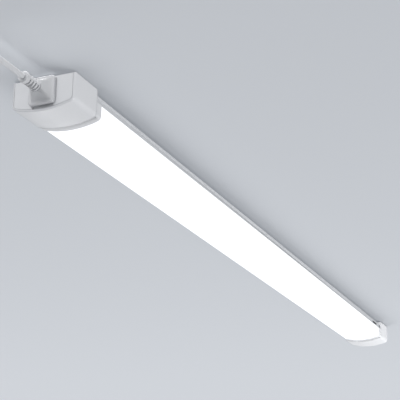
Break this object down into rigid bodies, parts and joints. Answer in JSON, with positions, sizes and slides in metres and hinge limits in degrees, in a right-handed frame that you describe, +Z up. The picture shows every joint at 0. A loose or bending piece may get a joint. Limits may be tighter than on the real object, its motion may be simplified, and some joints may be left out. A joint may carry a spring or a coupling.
{
  "type": "linkable ceiling batten light",
  "caption": "Slim linkable batten light with crowned opal diffuser, moulded end caps, ceiling clips and a plug-in mains cord with inline rocker switch.",
  "frame": {"origin": "middle of the two ceiling clips' screw holes, on the ceiling plane", "axes": "+Z up into the ceiling, X along the light with the powered end at -X, switch rocker facing -Y"},
  "size_m": [1.3657, 0.07, 0.32],
  "materials": {
    "rail_metal": "satin powder coat",
    "opal": "satin opal, lit",
    "cap_plastic": "fine satin moulding",
    "screw_steel": "zinc plated",
    "seal_rubber": "matt",
    "board_white": "white solder mask on aluminium",
    "led_chip": "phosphor filled",
    "clip_steel": "satin spring steel",
    "insulator": "satin",
    "contact_brass": "drawn",
    "circuit_board": "solder mask",
    "transformer_tape": "tape over ferrite",
    "capacitor_sleeve": "shrink sleeve",
    "choke_winding": "lacquered",
    "black_resin": "moulded",
    "fuse_ceramic": "glazed ends",
    "wire_insulation": "satin",
    "cord_moulding": "satin flexible moulding",
    "cord_sheath": "satin sheath",
    "switch_plastic": "semi gloss",
    "rocker_plastic": "semi gloss",
    "tie_rubber": "matt",
    "pin_nickel": "nickel plated brass"
  },
  "bodies": {
    "light": {"rail": "rail_metal", "diffuser": "opal", "near_cap": "cap_plastic", "far_cap": "cap_plastic", "cap_screws": "screw_steel", "near_seal": "seal_rubber", "far_seal": "seal_rubber", "entry_blank": "seal_rubber", "led_board": "board_white", "led_chips": "led_chip", "near_clip": "clip_steel", "far_clip": "clip_steel", "inlet_insert": "insulator", "inlet_pins": "contact_brass", "outlet_insert": "insulator", "outlet_contacts": "contact_brass", "driver_board": "circuit_board", "driver_transformer": "transformer_tape", "driver_capacitors": "capacitor_sleeve", "driver_choke": "choke_winding", "driver_rectifier": "black_resin", "driver_fuse": "fuse_ceramic", "link_wires": "wire_insulation", "board_wires": "wire_insulation"},
    "cord_set": {"connector_body": "cord_moulding", "connector_contacts": "contact_brass", "cord_run": "cord_sheath", "switch_base": "switch_plastic", "switch_cover": "switch_plastic", "switch_terminals": "contact_brass", "switch_screws": "screw_steel", "cord_drop": "cord_sheath", "cord_coil": "cord_sheath", "coil_tie": "tie_rubber", "cord_tail": "cord_sheath", "plug_body": "cord_moulding", "plug_pins": "pin_nickel"},
    "rocker": {"switch_rocker": "rocker_plastic"}
  },
  "joints": [
    {"name": "connector_pull", "type": "slide", "parent": "light", "child": "cord_set", "axis": [-1, 0, 0], "range_m": [0, 0.018]},
    {"name": "rocker_tilt", "type": "hinge", "parent": "cord_set", "child": "rocker", "pos_m": [-0.715, -0.0047, -0.1005], "axis": [1, 0, 0], "range_deg": [-18, 0]}
  ]
}
